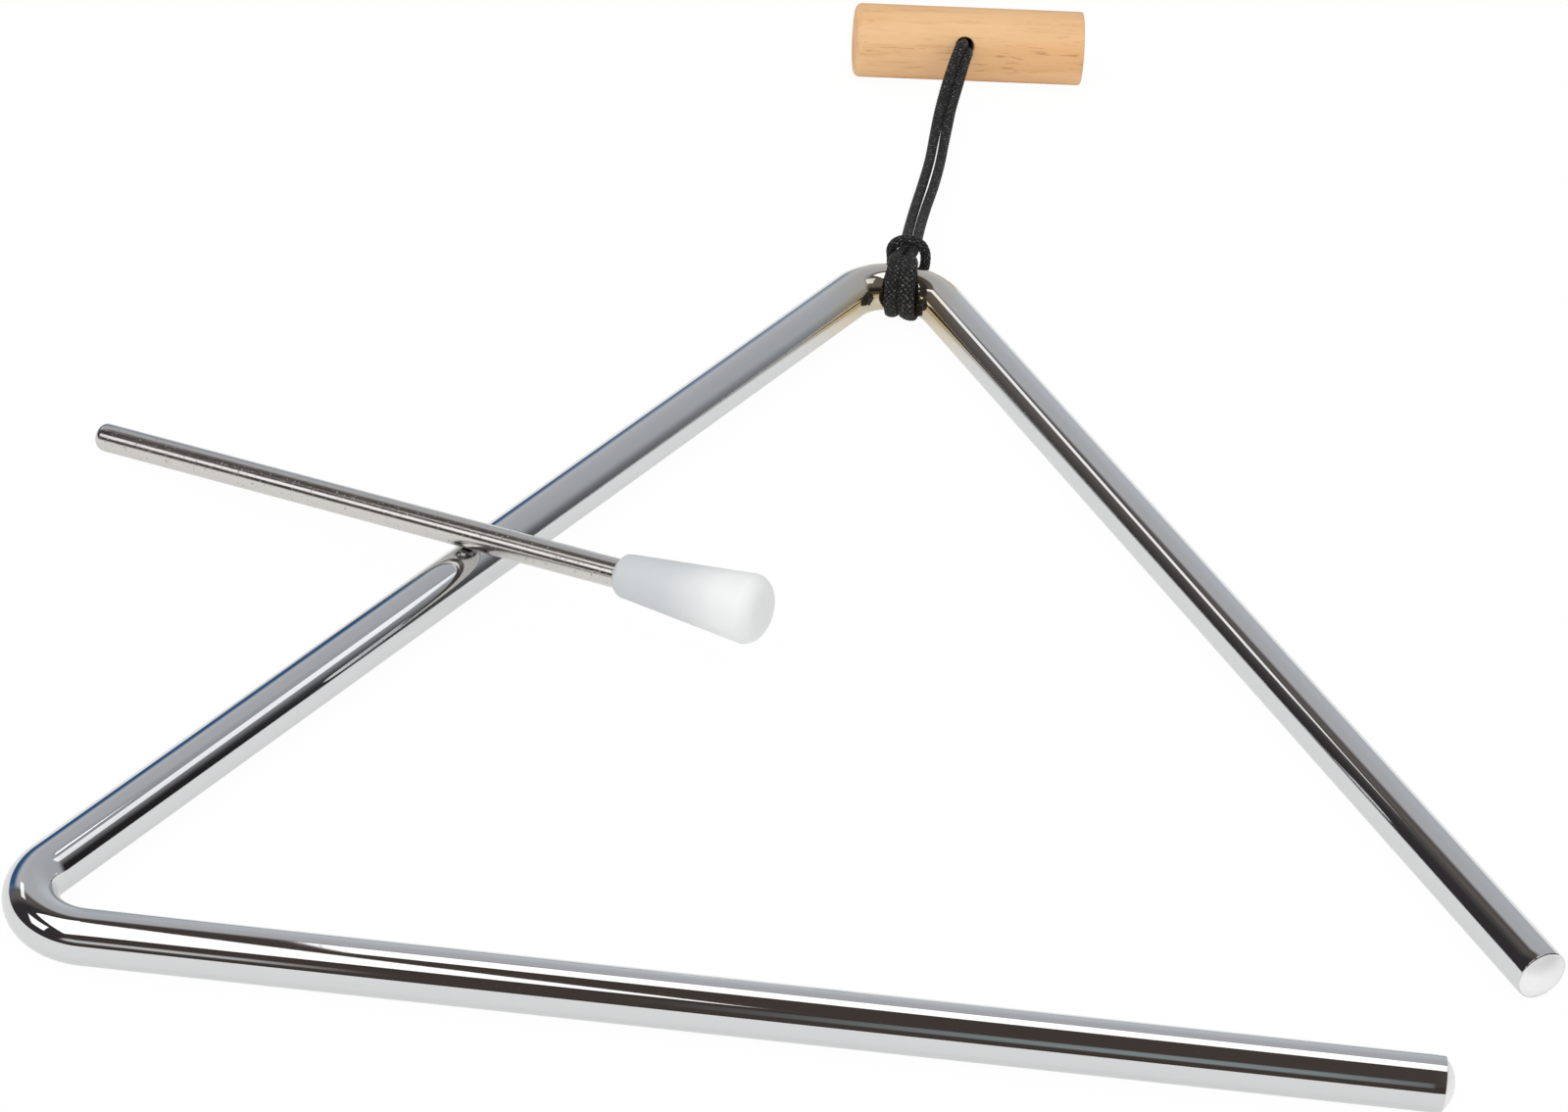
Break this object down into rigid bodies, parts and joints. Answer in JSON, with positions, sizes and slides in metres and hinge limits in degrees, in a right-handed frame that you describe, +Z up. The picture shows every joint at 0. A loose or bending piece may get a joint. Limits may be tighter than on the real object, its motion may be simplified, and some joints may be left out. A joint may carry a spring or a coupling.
{
  "type": "triangle instrument",
  "caption": "Chromed steel triangle with one open corner, a black cord hitched to its top bend, a wooden toggle handle and a metal beater with a tapered grip.",
  "frame": {"origin": "middle of the footprint of the bar, handle and beater, on the table they lie on", "axes": "+Z up from the table, +X along the lower arm towards its open end, +Y from the lower arm past the top bend towards the handle"},
  "size_m": [0.202, 0.2639, 0.0199],
  "materials": {
    "bar_chrome": "polished",
    "rod_nickel": "polished, finely pitted",
    "black_cord": "braided",
    "pale_wood": "sanded, unvarnished",
    "white_grip": "satin"
  },
  "bodies": {
    "triangle": {"triangle_bar": "bar_chrome", "cord_hitch": "black_cord"},
    "hanger": {"cord_strand_left": "black_cord", "cord_strand_right": "black_cord", "stopper_knot": "black_cord"},
    "handle": {"wooden_handle": "pale_wood"},
    "beater": {"beater_rod": "rod_nickel", "beater_grip": "white_grip"}
  },
  "joints": [
    {"name": "hanger_swing", "type": "hinge", "parent": "triangle", "child": "hanger", "pos_m": [0.01018, 0.05239, 0.0075], "axis": [1, 0, 0], "range_deg": [0, 120]},
    {"name": "handle_swivel", "type": "hinge", "parent": "hanger", "child": "handle", "pos_m": [0.01429, 0.12041, 0.006], "axis": [0.1188, -0.9022, 0.4147], "range_deg": [-180, 180]},
    {"name": "beater_lift", "type": "slide", "parent": "triangle", "child": "beater", "axis": [0, 0, 1], "range_m": [0, 0.1]}
  ]
}
